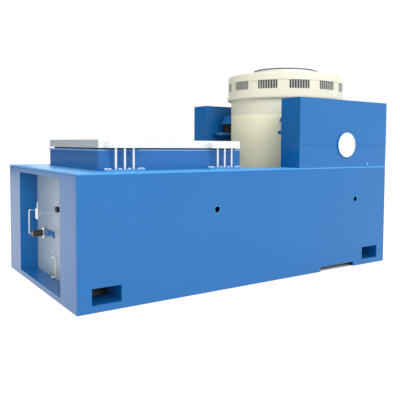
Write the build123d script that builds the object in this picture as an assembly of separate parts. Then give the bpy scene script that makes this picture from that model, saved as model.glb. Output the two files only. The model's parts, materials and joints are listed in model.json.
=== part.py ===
"""Vibration testing machine: an electrodynamic shaker that tilts on trunnions, and a
horizontal slip table, on one welded base.

Millimetres. +Z is up, +X runs along the base from the slip table to the shaker, and the
origin is on the floor, at the middle of the overall length and width. The shaker stands
upright at rest and tilts towards the slip table, which lies at the height of its axis.
"""

import os
from math import radians, sin, cos

from build123d import *

# Base
base_length = 2480
base_height = 750
side_wall = 12
inner_wall = 10
deck_thickness = 10
chassis_thickness = 10
lifting_hole_radius = 19.5
lifting_hole_height = 508
lifting_hole_left = 887
lifting_hole_right = 341
notch_right = 346
notch_length = 348
notch_height = 32

# Fork pockets, open through each side of the base
fork_inset = 83
fork_width = 170
fork_bottom = 40
fork_height = 92
fork_sleeve_wall = 8

# Recess for the oil fittings in the left end
recess_side_frame = 71
recess_bottom = 35
recess_top_frame = 31
recess_depth = 116
liner_wall = 4
panel_thickness = 4

# Shaker place and the pedestals that carry it
trunnion_from_right = 454
trunnion_rise = 162
pedestal_length = 915
pedestal_rise = 326
pedestal_depth = 195
pedestal_wall = 12
trunnion_plate_thickness = 6
trunnion_plate_setback = 35
trunnion_plate_drop = 16
seam_chamfer = 1.5
well_length = 1190
bulkhead_thickness = 12
end_wall_drop = 350
lip_gap = 4

# Trunnion shafts, bearings and the tilting gear
shaft_radius = 70
shaft_inset = 18
shaft_gap = 15
running_gap = 0.05
bearing_radius = 110
bearing_inset = 32
bearing_length = 80
block_half_width = 170
block_crown = 150
cover_radius = 90
cover_thickness = 11
cover_rim = 7
cover_dish = 3
cover_hole_radius = 80
cover_screw_radius = 6
gear_case_half_width = 140
gear_case_top = 105
gear_case_depth = 65
input_shaft_drop = 115
input_shaft_radius = 14
input_shaft_reach = 8
input_hex_length = 30
input_hex_across = 19

# Cradle that carries the shaker body on air springs
cradle_gap = 6.5
cradle_thickness = 24
cradle_boss_radius = 120
shelf_top = 100
shelf_thickness = 25
shelf_half_length = 400
shelf_depth = 90
shelf_corner = 30
body_gap = 4.5
spring_x = 270
spring_inset = 32
spring_radius = 50
spring_height = 70
spring_bore = 22
spring_waist = 8
guide_pin_radius = 15
guide_pin_reach = 55
lug_height = 77
lug_top_x = 307
lug_bottom_x = 324
lug_inner_x = 196
lug_inset = 6
lug_bore_depth = 68

# Shaker body, measured from the trunnion axis along the shaker's own axis
body_radius = 445.5
yoke_wall = 115.5
yoke_bottom = -370
yoke_top = 230
bottom_plate_thickness = 100
outlet_radius = 100
outlet_wall = 5
outlet_length = 50
outlet_flange_radius = 150
outlet_flange = 12
top_plate_bore = 236
centre_pole_radius = 200
centre_pole_bore = 80
centre_pole_top = 340
coil_side_gap = 5
coil_gap = 10

# Ventilated ring and cover on top of the body
ring_bottom = 347
ring_top = 543
lip_overhang = 32.5
lip_height = 28
lip_round = 14
lip_step = 6
ring_wall = 13
ring_flange_width = 30
ring_flange = 8
band_setback = 4
grille_bottom = 421
grille_top = 486
window_count = 12
slots_per_window = 8
slot_pitch_angle = 2.5
slot_width = 11
ring_edge = 6
cover_plate = 10
seal_width = 30
seal_gap = 0.4
seal_height = 24

# Armature, measured from the trunnion axis
armature_radius = 260
armature_top = 600
table_thickness = 45
armature_neck = 395
coil_former_outer = 228
coil_former_inner = 208
former_bottom = 345
drive_coil_clearance = 35
cone_wall = 20
armature_shaft_radius = 25
armature_shaft_bottom = 120
guide_bearing_bottom = 150
guide_bearing_top = 300
insert_radius = 5
insert_depth = 20
outer_insert_circle = 406.4
outer_insert_count = 8
inner_insert_circle = 203.2
inner_insert_count = 8

# Slip table
table_left = 217
table_to_well = 60
table_side_gap = 40
table_drop = 30
plate_thickness = 48
hole_pitch = 200
hole_margin = 100
oil_film = 0.3
slip_box_wall = 20
slip_box_rim = 10
rim_height = 8
rim_proud = 6
foot_flange = 7
granite_inset = 24

# Guides of the slip table, two on each side
guide_left_inset = 37
guide_right_inset = 46
guide_length = 217
spacer_depth = 18
bar_depth = 42
post_radius = 7
post_pitch = 56
post_engagement = 16
groove_depth = 20
groove_gap = 0.3
table_stroke = 25
stroke_margin = 3
foot_half_length = 125
foot_half_width = 20
foot_thickness = 8
guide_bolt_radius = 8
guide_bolt_head = 5
guide_bolt_inset = 18

# Oil supply behind the panel
tank_front_gap = 12
tank_length = 300
tank_side_gap = 158
tank_height = 230
tank_wall = 3
tank_filler_radius = 40
tank_filler_inset = 90
pump_motor_radius = 90
pump_motor_length = 260
pump_foot_half_width = 75
pump_foot_inset = 30
pump_body_length = 110
pump_body_radius = 55

# Fittings in the recess, placed from the left end, the middle of the base and the floor
pipe_y = 217
filter_height = 310
filter_left = 24
filter_right = 87
filter_radius = 21.5
filter_cap = 8
tee_x = 100
tee_radius = 10
tee_half_height = 34
tee_cap_radius = 13
tee_cap_height = 9
valve_x = 60
valve_bottom = 404
valve_top = 480
valve_radius = 14
valve_neck_radius = 10
valve_shoulder = 6
valve_port_height = 468
valve_stem_radius = 4
handle_height = 515
handle_bar_radius = 4
handle_bar_half = 16
pipe_radius = 4
pipe_left = 6
pipe_bend = 10
feed_radius = 6
manifold_near = 42
manifold_far = 197
manifold_bottom = 297
manifold_height = 37
manifold_depth = 10
knob_y = -58
knob_height = 493
knob_radius = 19
knob_length = 18
collar_radius = 22
collar_thickness = 5
knob_spindle_radius = 5
indicator_y = -38
indicator_height = 535
indicator_radius = 7
indicator_length = 6
gauge_y = 41
gauge_bottom = 40
gauge_top = 178
gauge_width = 24
gauge_depth = 22
gauge_cap = 10
plug_y = 66
plug_height = 203
plug_radius = 8
plug_length = 8
drain_y = 74
drain_height = 62
drain_body_radius = 6
drain_body_length = 18
drain_lever_length = 26
drain_lever_width = 6
drain_lever_thickness = 3

# Radii of the ring and of what lies inside the body, from the body's own radius
lip_radius = body_radius + lip_overhang
ring_radius = lip_radius - lip_step
band_radius = ring_radius - band_setback
ring_inner = band_radius - ring_wall
ring_flange_inner = ring_inner - ring_flange_width
yoke_bore = body_radius - yoke_wall
coil_outer = yoke_bore - coil_side_gap
cover_opening = armature_radius + seal_width

# The origin is at the middle of the overall length, which reaches from the base's left end
# to the rim of the ring beyond its right end.
overall_length = base_length - trunnion_from_right + lip_radius
left_end = -overall_length / 2
right_end = left_end + base_length
trunnion_x = right_end - trunnion_from_right
trunnion_height = base_height + trunnion_rise
pedestal_x = right_end - pedestal_length
pedestal_top = trunnion_height + pedestal_rise
well_x = right_end - well_length

# The shaker's ring sets how far apart the pedestals stand, and so the width of the base.
trunnion_plate_inner = lip_radius + lip_gap
beam_inner = trunnion_plate_inner + trunnion_plate_thickness
half_width = beam_inner + pedestal_depth
shaft_end = half_width - shaft_inset
bearing_start = beam_inner + bearing_inset
gear_case_start = half_width - pedestal_wall - gear_case_depth

deck_bottom = base_height - deck_thickness
fork_top = fork_bottom + fork_height
chassis_bottom = fork_top + fork_sleeve_wall
chassis_top = chassis_bottom + chassis_thickness
end_wall_height = base_height - end_wall_drop
recess_half_width = beam_inner - recess_side_frame
recess_top = deck_bottom - recess_top_frame
panel_x = left_end + recess_depth
panel_back = panel_x + panel_thickness
tank_half_width = beam_inner - tank_side_gap

cradle_inner = body_radius + cradle_gap
cradle_outer = cradle_inner + cradle_thickness
shelf_inner = cradle_inner - shelf_depth
drive_coil_bottom = yoke_top + drive_coil_clearance
spring_y = cradle_inner - spring_inset
lug_outer_y = cradle_outer - lug_inset

table_bottom = trunnion_height - table_drop
table_top = table_bottom + plate_thickness
table_half_width = beam_inner - table_side_gap
table_x0 = left_end + table_left
table_x1 = well_x - table_to_well
table_middle = (table_x0 + table_x1) / 2
guide_places = (table_x0 + guide_left_inset + guide_length / 2, table_x1 - guide_right_inset - guide_length / 2)

sides = {"front": -1, "rear": 1}


def block(x0, x1, y0, y1, z0, z1):
    """A box between two corners."""
    low_y, high_y = min(y0, y1), max(y0, y1)
    return Pos((x0 + x1) / 2, (low_y + high_y) / 2, (z0 + z1) / 2) * Box(x1 - x0, high_y - low_y, z1 - z0)


def rod_x(x0, x1, y, z, radius):
    """A round bar along X."""
    return Pos((x0 + x1) / 2, y, z) * Rot(0, 90, 0) * Cylinder(radius, x1 - x0)


def rod_y(x, y0, y1, z, radius):
    """A round bar along Y."""
    return Pos(x, (y0 + y1) / 2, z) * Rot(90, 0, 0) * Cylinder(radius, abs(y1 - y0))


def rod_z(x, y, z0, z1, radius):
    """A round bar along Z."""
    return Pos(x, y, (z0 + z1) / 2) * Cylinder(radius, z1 - z0)


def plate_y(outline, y0, y1):
    """A plate with an outline in X and Z, between two places in Y."""
    low, high = min(y0, y1), max(y0, y1)
    return Pos(0, high, 0) * extrude(Plane.XZ * outline, high - low, dir=(0, -1, 0))


def on_shaker(shape):
    """Moves a shape drawn about the shaker's own axis to the trunnion centre."""
    return Pos(trunnion_x, 0, trunnion_height) * shape


def turned(points):
    """A solid of revolution about Z from an outline of (radius, height) points."""
    outline = Plane.XZ * make_face(Polyline(*points, close=True))
    return revolve(outline, Axis.Z)


# Base

def side_plate(side):
    """Outer side wall: fork windows, lifting holes and the notch in its lower edge."""
    outer, inner = side * half_width, side * (half_width - side_wall)
    wall = block(left_end, right_end, outer, inner, 0, deck_bottom)
    for x0 in fork_starts():
        wall -= block(x0, x0 + fork_width, outer, inner, fork_bottom, fork_top)
    for x in (left_end + lifting_hole_left, right_end - lifting_hole_right):
        wall -= rod_y(x, outer, inner, lifting_hole_height, lifting_hole_radius)
    notch_end = right_end - notch_right
    return wall - block(notch_end - notch_length, notch_end, outer, inner, 0, notch_height)


def fork_starts():
    """Left edges of the two fork pockets."""
    return left_end + fork_inset, right_end - fork_inset - fork_width


def fork_sleeve(x0, side):
    """Rectangular sleeve that lines one fork pocket inside the side beam."""
    wall = fork_sleeve_wall
    outer, inner = side * (half_width - side_wall), side * beam_inner
    sleeve = block(x0 - wall, x0 + fork_width + wall, outer, inner, fork_bottom - wall, fork_top + wall)
    return sleeve - block(x0, x0 + fork_width, outer, inner, fork_bottom, fork_top)


def inner_plate(side):
    """Inner wall of the side beam, from the chassis floor to the deck."""
    inner, outer = side * beam_inner, side * (beam_inner + inner_wall)
    return block(panel_back, right_end - side_wall, inner, outer, chassis_top, deck_bottom)


def chassis_floor():
    reach = half_width - side_wall
    return block(panel_back, right_end - side_wall, -reach, reach, chassis_bottom, chassis_top)


def left_end_frame():
    """End wall with the window of the recess."""
    reach = half_width - side_wall
    wall = block(left_end, left_end + side_wall, -reach, reach, 0, deck_bottom)
    return wall - block(left_end, left_end + side_wall, -recess_half_width, recess_half_width,
                        recess_bottom, recess_top)


def recess_liner():
    """Four walls that join the window to the panel."""
    x0, x1 = left_end + side_wall, panel_x
    grow = liner_wall
    shell = block(x0, x1, -recess_half_width - grow, recess_half_width + grow,
                  recess_bottom - grow, recess_top + grow)
    return shell - block(x0, x1, -recess_half_width, recess_half_width, recess_bottom, recess_top)


def instrument_panel():
    grow = liner_wall
    return block(panel_x, panel_back, -recess_half_width - grow, recess_half_width + grow,
                 recess_bottom - grow, recess_top + grow)


def right_end_wall():
    """End wall, open above a low sill so that the tilted body can pass."""
    reach = half_width - side_wall
    x0 = right_end - side_wall
    wall = block(x0, right_end, -reach, reach, 0, deck_bottom)
    return wall - block(x0, right_end, -beam_inner, beam_inner, end_wall_height, deck_bottom)


def well_bulkhead():
    x0 = well_x - bulkhead_thickness
    return block(x0, well_x, -beam_inner, beam_inner, chassis_top, deck_bottom)


def deck_plate():
    """Top plate of the base, cut away over the well."""
    deck = block(left_end, right_end, -half_width, half_width, deck_bottom, base_height)
    return deck - block(well_x, right_end, -beam_inner, beam_inner, deck_bottom, base_height)


# Pedestals, bearings and tilting gear

def pedestal_shell(side, z0, z1):
    """Four walls of a pedestal between two heights, bored for the trunnion."""
    inner, outer = side * beam_inner, side * half_width
    wall = pedestal_wall
    shell = block(pedestal_x, right_end, inner, outer, z0, z1)
    shell -= block(pedestal_x + wall, right_end - wall, inner + side * wall, outer - side * wall, z0, z1)
    shell -= rod_y(trunnion_x, outer, outer - side * wall, trunnion_height, cover_hole_radius)
    return shell - rod_y(trunnion_x, inner, inner + side * wall, trunnion_height, shaft_radius + shaft_gap)


def pedestal_base(side):
    shell = pedestal_shell(side, base_height, trunnion_height)
    if side == sides["rear"]:
        input_y = side * (gear_case_start + half_width - pedestal_wall) / 2
        shell -= rod_x(right_end - pedestal_wall, right_end, input_y, trunnion_height - input_shaft_drop,
                       input_shaft_radius + shaft_gap)
    return shell


def pedestal_cap(side):
    """Upper half of a pedestal, which lifts off at the height of the trunnion axis."""
    inner, outer = side * beam_inner, side * half_width
    cap = pedestal_shell(side, trunnion_height, pedestal_top - pedestal_wall)
    cap += block(pedestal_x, right_end, inner, outer, pedestal_top - pedestal_wall, pedestal_top)
    outline = cap.edges().filter_by(Plane.XY).group_by(Axis.Z)[0]
    seam = [edge for edge in outline if abs(edge.center().Y - outer) < 1 and edge.length > bearing_radius]
    return chamfer(seam, seam_chamfer)


def trunnion_plate(side):
    """Thin wear plate on the inner face of a pedestal."""
    inner, outer = side * trunnion_plate_inner, side * beam_inner
    plate = block(pedestal_x + trunnion_plate_setback, right_end, inner, outer,
                  base_height, pedestal_top - trunnion_plate_drop)
    return plate - rod_y(trunnion_x, inner, outer, trunnion_height, shaft_radius + shaft_gap)


def bearing_block(side):
    """Pillow block that stands on the deck inside a pedestal."""
    start, end = side * bearing_start, side * (bearing_start + bearing_length)
    lower = block(trunnion_x - block_half_width, trunnion_x + block_half_width, start, end,
                  base_height, trunnion_height)
    crown = rod_y(trunnion_x, start, end, trunnion_height, block_crown)
    return lower + crown - rod_y(trunnion_x, start, end, trunnion_height, bearing_radius)


def trunnion_bearing(side):
    start, end = side * bearing_start, side * (bearing_start + bearing_length)
    ring = rod_y(trunnion_x, start, end, trunnion_height, bearing_radius)
    return ring - rod_y(trunnion_x, start, end, trunnion_height, shaft_radius + running_gap)


def bearing_cover(side):
    """Dished round cover over the trunnion bearing, with a screw at its centre."""
    rim = cover_radius - cover_rim
    outline = [(0, 0), (cover_radius, 0), (cover_radius, cover_thickness), (rim, cover_thickness),
               (rim, cover_thickness - cover_dish), (cover_screw_radius, cover_thickness - cover_dish),
               (cover_screw_radius, cover_thickness), (0, cover_thickness)]
    turn = 90 if side == sides["front"] else -90
    return Pos(trunnion_x, side * half_width, trunnion_height) * Rot(turn, 0, 0) * turned(outline)


def gear_case():
    """Worm gear casing on the rear trunnion, fixed to the pedestal's outer wall."""
    outer = half_width - pedestal_wall
    middle = (gear_case_start + outer) / 2
    drop = trunnion_height - input_shaft_drop
    case = block(trunnion_x - gear_case_half_width, trunnion_x + gear_case_half_width,
                 gear_case_start, outer, base_height, trunnion_height + gear_case_top)
    case -= rod_y(trunnion_x, gear_case_start, outer, trunnion_height, shaft_radius + running_gap)
    return case - rod_x(trunnion_x, trunnion_x + gear_case_half_width, middle, drop,
                        input_shaft_radius + running_gap)


def input_shaft():
    """Worm input shaft, with a hexagon for a crank outside the right end of the pedestal."""
    middle = (gear_case_start + half_width - pedestal_wall) / 2
    height = trunnion_height - input_shaft_drop
    shoulder = right_end + input_shaft_reach - input_hex_length
    shaft = rod_x(trunnion_x + running_gap, shoulder, middle, height, input_shaft_radius)
    hexagon = extrude(RegularPolygon(input_hex_across / 2, 6, major_radius=False), input_hex_length)
    return shaft + Pos(shoulder, middle, height) * Rot(0, 90, 0) * hexagon


# Cradle and air springs

def cradle(side):
    """Yoke plate with its shelf, and pins through the air springs that keep the body square."""
    inner, outer = side * cradle_inner, side * cradle_outer
    shelf_bottom = shelf_top - shelf_thickness
    hull = Polygon((-shelf_half_length, shelf_bottom), (-shelf_half_length, shelf_top),
                   (shelf_half_length, shelf_top), (shelf_half_length, shelf_bottom),
                   (cradle_boss_radius, -cradle_boss_radius / 2), (-cradle_boss_radius, -cradle_boss_radius / 2),
                   align=None)
    yoke = plate_y(hull + Circle(cradle_boss_radius), inner, outer)
    shelf = block(-shelf_half_length, shelf_half_length, side * shelf_inner, inner, shelf_bottom, shelf_top)
    shelf -= rod_z(0, 0, shelf_bottom, shelf_top, body_radius + body_gap)
    corners = [edge for edge in shelf.edges().filter_by(Axis.Z)
               if abs(abs(edge.center().X) - shelf_half_length) < 1 and abs(edge.center().Y) < spring_y]
    frame = yoke + fillet(corners, shelf_corner)
    pin_top = shelf_top + spring_height + guide_pin_reach
    for x, y in spring_places(side):
        frame += rod_z(x, y, shelf_bottom, pin_top, guide_pin_radius)
    return on_shaker(frame)


def trunnion_shaft(side):
    return rod_y(trunnion_x, side * cradle_outer, side * shaft_end, trunnion_height, shaft_radius)


def spring_places(side):
    """Centres of a side's two air springs about the shaker's axis."""
    return (-spring_x, side * spring_y), (spring_x, side * spring_y)


def air_springs(side):
    """Two rubber bellows, each with a waist between its two lobes."""
    low, high = shelf_top, shelf_top + spring_height
    middle = (low + high) / 2
    lobe = spring_radius - spring_waist
    outline = [(spring_bore, low), (lobe, low), (spring_radius, (low + middle) / 2), (lobe, middle),
               (spring_radius, (middle + high) / 2), (lobe, high), (spring_bore, high)]
    bellows = turned(outline)
    return on_shaker(Compound([Pos(x, y, 0) * bellows for x, y in spring_places(side)]))


def body_lugs(side):
    """Brackets on the body's flanks that stand on the air springs."""
    low = shelf_top + spring_height
    high = low + lug_height
    profile = Polygon((-lug_bottom_x, low), (-lug_top_x, high), (-lug_inner_x, high), (-lug_inner_x, low),
                      align=None)
    lug = plate_y(profile, 0, side * lug_outer_y)
    lug -= rod_z(0, 0, low, high, body_radius)
    lug -= rod_z(-spring_x, side * spring_y, low, low + lug_bore_depth, guide_pin_radius + running_gap)
    return on_shaker(Compound([lug, mirror(lug, Plane.YZ)]))


# Shaker body

def magnet_yoke():
    """Thick steel tube that closes the magnetic circuit."""
    tube = rod_z(0, 0, yoke_bottom, yoke_top, body_radius)
    return on_shaker(tube - rod_z(0, 0, yoke_bottom, yoke_top, yoke_bore))


def bottom_plate():
    low = yoke_bottom - bottom_plate_thickness
    plate = rod_z(0, 0, low, yoke_bottom, body_radius)
    return on_shaker(plate - rod_z(0, 0, low, yoke_bottom, outlet_radius - outlet_wall))


def air_outlet():
    """Flanged spigot under the body, for the cooling air hose."""
    top = yoke_bottom - bottom_plate_thickness
    bore = outlet_radius - outlet_wall
    outline = [(bore, top), (outlet_flange_radius, top), (outlet_flange_radius, top - outlet_flange),
               (outlet_radius, top - outlet_flange), (outlet_radius, top - outlet_flange - outlet_length),
               (bore, top - outlet_flange - outlet_length)]
    return on_shaker(turned(outline))


def top_plate():
    """Pole plate round the air gap."""
    plate = rod_z(0, 0, yoke_top, ring_bottom, body_radius)
    return on_shaker(plate - rod_z(0, 0, yoke_top, ring_bottom, top_plate_bore))


def centre_pole():
    pole = rod_z(0, 0, yoke_bottom, centre_pole_top, centre_pole_radius)
    return on_shaker(pole - rod_z(0, 0, yoke_bottom, centre_pole_top, centre_pole_bore))


def field_coils():
    """Lower and upper windings round the centre pole."""
    middle = (yoke_bottom + yoke_top) / 2
    lower, upper = middle - coil_gap / 2, middle + coil_gap / 2
    coils = [rod_z(0, 0, low, high, coil_outer) - rod_z(0, 0, low, high, centre_pole_radius)
             for low, high in ((yoke_bottom, lower), (upper, yoke_top))]
    return on_shaker(Compound(coils))


def grille_ring():
    """Ring with a rounded lip below, and a set-back band with twelve slotted windows."""
    lip_top = ring_bottom + lip_height
    lip_start, lip_end = (lip_radius - lip_round, ring_bottom), (lip_radius, ring_bottom + lip_round)
    edge_start, edge_end = (ring_radius, ring_top - ring_edge), (ring_radius - ring_edge, ring_top)
    outline = Polyline((ring_inner, ring_top), (ring_inner, ring_bottom + ring_flange),
                       (ring_flange_inner, ring_bottom + ring_flange), (ring_flange_inner, ring_bottom), lip_start)
    outline += RadiusArc(lip_start, lip_end, -lip_round)
    outline += Polyline(lip_end, (lip_radius, lip_top), (ring_radius, lip_top), (ring_radius, grille_bottom),
                        (band_radius, grille_bottom), (band_radius, grille_top), (ring_radius, grille_top),
                        edge_start)
    outline += RadiusArc(edge_start, edge_end, -ring_edge)
    outline += Line(edge_end, (ring_inner, ring_top))
    ring = revolve(Plane.XZ * make_face(outline), Axis.Z)
    slot = block(ring_inner - slot_width, lip_radius, -slot_width / 2, slot_width / 2, grille_bottom, grille_top)
    first = -slot_pitch_angle * (slots_per_window - 1) / 2
    slots = [Rot(0, 0, window * 360 / window_count + first + place * slot_pitch_angle) * slot
             for window in range(window_count) for place in range(slots_per_window)]
    return on_shaker(ring - slots)


def top_cover():
    """Annular cover inside the top of the ring."""
    plate = rod_z(0, 0, ring_top - cover_plate, ring_top, ring_inner)
    return on_shaker(plate - rod_z(0, 0, ring_top - cover_plate, ring_top, cover_opening))


def dust_seal():
    """Rubber ring between the cover and the armature."""
    low = ring_top - seal_height
    seal = rod_z(0, 0, low, ring_top, cover_opening)
    return on_shaker(seal - rod_z(0, 0, low, ring_top, armature_radius + seal_gap))


def guide_bearing():
    ring = rod_z(0, 0, guide_bearing_bottom, guide_bearing_top, centre_pole_bore)
    return on_shaker(ring - rod_z(0, 0, guide_bearing_bottom, guide_bearing_top,
                                  armature_shaft_radius + running_gap))


# Armature

def armature_table():
    """Round table on a cone that narrows to the coil former, with rings of inserts."""
    under = armature_top - table_thickness
    outline = [(0, armature_top), (armature_radius, armature_top), (armature_radius, under),
               (coil_former_outer, armature_neck), (coil_former_outer, former_bottom),
               (coil_former_inner, former_bottom), (coil_former_inner, armature_neck),
               (armature_radius - cone_wall, under), (0, under)]
    table = turned(outline)
    holes = ring_of_inserts(outer_insert_circle, outer_insert_count)
    holes += ring_of_inserts(inner_insert_circle, inner_insert_count)
    return on_shaker(table - holes)


def ring_of_inserts(circle, count):
    return [rod_z(circle / 2 * cos(radians(360 * place / count)), circle / 2 * sin(radians(360 * place / count)),
                  armature_top - insert_depth, armature_top, insert_radius) for place in range(count)]


def drive_coil():
    coil = rod_z(0, 0, drive_coil_bottom, former_bottom, coil_former_outer)
    return on_shaker(coil - rod_z(0, 0, drive_coil_bottom, former_bottom, coil_former_inner))


def armature_shaft():
    return on_shaker(rod_z(0, 0, armature_shaft_bottom, armature_top - table_thickness, armature_shaft_radius))


# Slip table

def hole_rows(half_span):
    """Places of the holes of one row about its middle, as many as fit between the margins."""
    steps = int(2 * (half_span - hole_margin) / hole_pitch)
    return [hole_pitch * (place - steps / 2) for place in range(steps + 1)]


def slip_plate():
    """Magnesium plate with a grid of threaded inserts."""
    plate = block(table_x0, table_x1, -table_half_width, table_half_width, table_bottom, table_top)
    holes = [rod_z(table_middle + x, y, table_top - insert_depth, table_top, insert_radius)
             for x in hole_rows((table_x1 - table_x0) / 2) for y in hole_rows(table_half_width)]
    return plate - holes


def slip_box():
    """Open box round the granite, with a foot flange and a proud rim that catches the oil."""
    rim_top = table_bottom - slip_box_rim
    wall = slip_box_wall
    shell = block(table_x0, table_x1, -table_half_width, table_half_width, base_height, rim_top)
    shell += block(table_x0 - rim_proud, table_x1 + rim_proud, -table_half_width - rim_proud,
                   table_half_width + rim_proud, rim_top - rim_height, rim_top)
    shell += block(table_x0 - rim_proud, table_x1 + rim_proud, -table_half_width - rim_proud,
                   table_half_width + rim_proud, base_height, base_height + foot_flange)
    return shell - block(table_x0 + wall, table_x1 - wall, -table_half_width + wall, table_half_width - wall,
                         base_height, rim_top)


def granite_block():
    inset = granite_inset
    return block(table_x0 + inset, table_x1 - inset, -table_half_width + inset, table_half_width - inset,
                 base_height, table_bottom - oil_film)


def guide_bar(x, side):
    """Spacer and grooved bar bolted to the edge of the slip plate."""
    edge = side * table_half_width
    face = edge + side * (spacer_depth + bar_depth)
    bar_y = edge + side * (spacer_depth + bar_depth / 2)
    bar = block(x - guide_length / 2, x + guide_length / 2, edge, face, table_bottom, table_top)
    half_groove = post_pitch + post_radius + table_stroke + stroke_margin
    width = post_radius + groove_gap
    bar -= block(x - half_groove, x + half_groove, bar_y - width, bar_y + width,
                 table_bottom, table_bottom + groove_depth)
    for end in (-1, 1):
        bolt_x = x + end * (guide_length / 2 - guide_bolt_inset)
        bar += rod_y(bolt_x, face, face + side * guide_bolt_head, (table_bottom + table_top) / 2, guide_bolt_radius)
    return bar


def guide_posts(x, side):
    """Three posts that run in the bar's groove, on a foot screwed to the deck."""
    y = side * (table_half_width + spacer_depth + bar_depth / 2)
    foot = block(x - foot_half_length, x + foot_half_length, y - foot_half_width, y + foot_half_width,
                 base_height, base_height + foot_thickness)
    for place in (-1, 0, 1):
        foot += rod_z(x + place * post_pitch, y, base_height, table_bottom + post_engagement, post_radius)
    return foot


# Oil supply behind the panel

def oil_tank():
    """Sheet steel tank with a round filler opening in its top."""
    x0 = panel_back + tank_front_gap
    top, wall = chassis_top + tank_height, tank_wall
    tank = block(x0, x0 + tank_length, -tank_half_width, tank_half_width, chassis_top, top)
    tank -= block(x0 + wall, x0 + tank_length - wall, -tank_half_width + wall, tank_half_width - wall,
                  chassis_top + wall, top - wall)
    filler_y = tank_filler_inset - tank_half_width
    return tank - rod_z(x0 + tank_length / 2, filler_y, top - wall, top, tank_filler_radius)


def oil_pump_unit():
    """Electric motor on its foot, with the gear pump flanged to its end."""
    x = panel_back + tank_front_gap + tank_length / 2
    tank_top = chassis_top + tank_height
    z = tank_top + pump_motor_radius + tank_wall
    motor = rod_y(x, 0, pump_motor_length, z, pump_motor_radius)
    motor += block(x - pump_foot_half_width, x + pump_foot_half_width, pump_foot_inset,
                   pump_motor_length - pump_foot_inset, tank_top, z)
    pump = rod_y(x, -pump_body_length, 0, z, pump_body_radius)
    return Compound([motor, pump])


# Fittings in the recess

def oil_filter():
    """Round filter bowl along X, with a stepped cap."""
    x0, x1 = left_end + filter_left, left_end + filter_right
    bowl = rod_x(x0 + filter_cap, x1, pipe_y, filter_height, filter_radius)
    return bowl + rod_x(x0, x0 + filter_cap, pipe_y, filter_height, filter_radius - filter_cap / 2)


def tee_fitting():
    """Tee between the filter and the panel, with a cap at each end of its upright."""
    x = left_end + tee_x
    low, high = filter_height - tee_half_height, filter_height + tee_half_height
    tee = rod_z(x, pipe_y, low, high, tee_radius)
    tee += rod_z(x, pipe_y, low, low + tee_cap_height, tee_cap_radius)
    tee += rod_z(x, pipe_y, high - tee_cap_height, high, tee_cap_radius)
    return tee + rod_x(left_end + filter_right, panel_x, pipe_y, filter_height, tee_radius)


def valve_body():
    """Screw-down valve, fed from the panel behind it."""
    x = left_end + valve_x
    body = rod_z(x, pipe_y, valve_bottom + valve_shoulder, valve_top - valve_shoulder, valve_radius)
    body += rod_z(x, pipe_y, valve_bottom, valve_top, valve_neck_radius)
    body += rod_x(x, panel_x, pipe_y, (valve_bottom + valve_top) / 2, feed_radius)
    return body - rod_z(x, pipe_y, (valve_bottom + valve_top) / 2, valve_top, valve_stem_radius + running_gap)


def valve_handle():
    """Stem with a T-bar."""
    x = left_end + valve_x
    stem = rod_z(x, pipe_y, (valve_bottom + valve_top) / 2 + running_gap, handle_height, valve_stem_radius)
    return stem + rod_y(x, pipe_y - handle_bar_half, pipe_y + handle_bar_half, handle_height, handle_bar_radius)


def return_pipe():
    """Bent tube from the valve's port down to the end of the filter."""
    x_port = left_end + valve_x - valve_radius
    x_left = left_end + pipe_left
    x_filter = left_end + filter_left
    route = FilletPolyline((x_port, pipe_y, valve_port_height), (x_left, pipe_y, valve_port_height),
                           (x_left, pipe_y, filter_height), (x_filter, pipe_y, filter_height), radius=pipe_bend)
    section = Plane(origin=route @ 0, z_dir=route % 0) * Circle(pipe_radius)
    return sweep(section, path=route)


def manifold_block():
    return block(panel_x - manifold_depth, panel_x, manifold_near, manifold_far,
                 manifold_bottom, manifold_bottom + manifold_height)


def knob_collar():
    """Threaded collar and fixed spindle of the regulator knob."""
    collar = rod_x(panel_x - collar_thickness, panel_x, knob_y, knob_height, collar_radius)
    spindle_end = panel_x - collar_thickness - knob_length / 2
    return collar + rod_x(spindle_end, panel_x, knob_y, knob_height, knob_spindle_radius)


def regulator_knob():
    x1 = panel_x - collar_thickness - groove_gap
    knob = rod_x(x1 - knob_length, x1, knob_y, knob_height, knob_radius)
    return knob - rod_x(panel_x - collar_thickness - knob_length / 2 - groove_gap, x1, knob_y, knob_height,
                        knob_spindle_radius + running_gap)


def indicator():
    return rod_x(panel_x - indicator_length, panel_x, indicator_y, indicator_height, indicator_radius)


def gauge_glass():
    """Sight tube of the oil level gauge."""
    x = panel_x - gauge_depth / 2
    return rod_z(x, gauge_y, gauge_bottom + gauge_cap, gauge_top - gauge_cap, gauge_width / 3)


def gauge_frame():
    """Backing of the level gauge with its end caps."""
    low, high = gauge_y - gauge_width / 2, gauge_y + gauge_width / 2
    frame = block(panel_x - gauge_depth, panel_x, low, high, gauge_bottom, gauge_bottom + gauge_cap)
    frame += block(panel_x - gauge_depth, panel_x, low, high, gauge_top - gauge_cap, gauge_top)
    return frame + block(panel_x - gauge_cap / 4, panel_x, low, high, gauge_bottom, gauge_top)


def filler_plug():
    return rod_x(panel_x - plug_length, panel_x, plug_y, plug_height, plug_radius)


def drain_cock():
    return rod_x(panel_x - drain_body_length, panel_x, drain_y, drain_height, drain_body_radius)


def drain_lever():
    """Small lever that turns on the end of the drain cock."""
    x1 = panel_x - drain_body_length - groove_gap
    x0 = x1 - drain_lever_thickness
    lever = block(x0, x1, drain_y - drain_lever_width / 2, drain_y + drain_lever_width / 2,
                  drain_height, drain_height + drain_lever_length)
    return lever + rod_x(x0, x1, drain_y, drain_height, drain_body_radius)


def both_sides(make):
    """One node from a front piece and its rear twin."""
    return Compound([make(side) for side in sides.values()])


def table_guides(make, side):
    """One node from the left and right guides of a side."""
    return Compound([make(x, side) for x in guide_places])


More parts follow.
